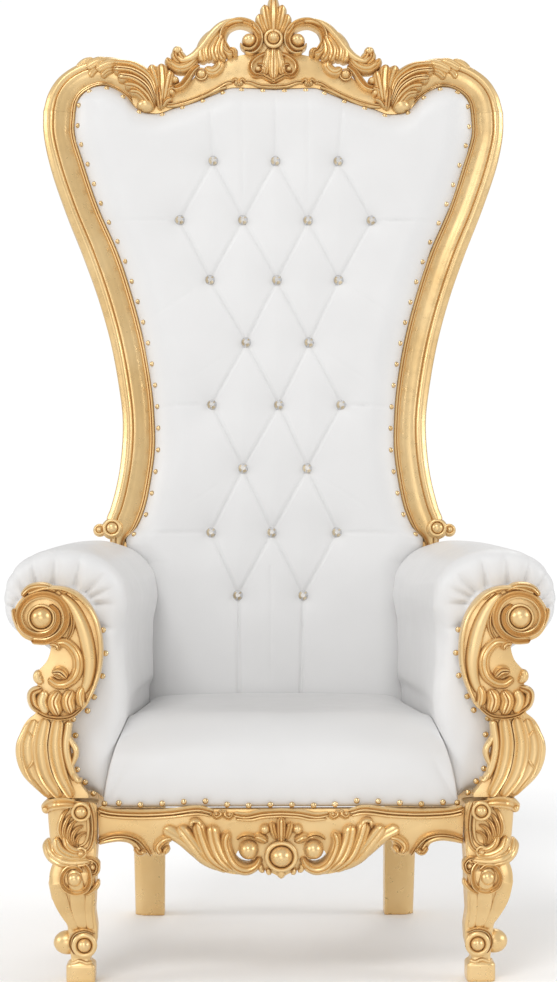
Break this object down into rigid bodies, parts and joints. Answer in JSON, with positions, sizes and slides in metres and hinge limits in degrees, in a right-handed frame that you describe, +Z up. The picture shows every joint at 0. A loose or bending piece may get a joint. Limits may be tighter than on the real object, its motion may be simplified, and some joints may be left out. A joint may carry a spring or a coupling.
{
  "type": "throne",
  "caption": "Tall-back carved gilt throne chair with a tufted white leatherette back, rolled arms, a fixed padded seat, crystal buttons and cabriole front legs.",
  "frame": {"origin": "on the floor under the middle of the throne's box", "axes": "+Z up, the front faces -Y, +X to the right of someone looking at the front"},
  "size_m": [0.9198, 0.8102, 1.7989],
  "materials": {
    "gilt_wood": "carved wood under satin gold leaf, a little darker in the recesses",
    "white_leatherette": "smooth satin white leatherette",
    "crystal": "clear faceted crystal in a thin bright metal rim"
  },
  "bodies": {
    "root": {"crest_rail": "gilt_wood", "rear_post_left": "gilt_wood", "rear_post_right": "gilt_wood", "front_apron": "gilt_wood", "rear_rail": "gilt_wood", "front_leg_left": "gilt_wood", "front_leg_right": "gilt_wood", "arm_front_left": "gilt_wood", "arm_front_right": "gilt_wood", "side_rail_left": "gilt_wood", "side_rail_right": "gilt_wood", "seat_cushion": "white_leatherette", "back_pad": "white_leatherette", "back_panel": "white_leatherette", "arm_pad_left": "white_leatherette", "arm_pad_right": "white_leatherette", "crystal_button_01": "crystal", "crystal_button_02": "crystal", "crystal_button_03": "crystal", "crystal_button_04": "crystal", "crystal_button_05": "crystal", "crystal_button_06": "crystal", "crystal_button_07": "crystal", "crystal_button_08": "crystal", "crystal_button_09": "crystal", "crystal_button_10": "crystal", "crystal_button_11": "crystal", "crystal_button_12": "crystal", "crystal_button_13": "crystal", "crystal_button_14": "crystal", "crystal_button_15": "crystal", "crystal_button_16": "crystal", "crystal_button_17": "crystal", "crystal_button_18": "crystal", "crystal_button_19": "crystal", "crystal_button_20": "crystal", "crystal_button_21": "crystal", "crystal_button_22": "crystal"}
  },
  "joints": []
}
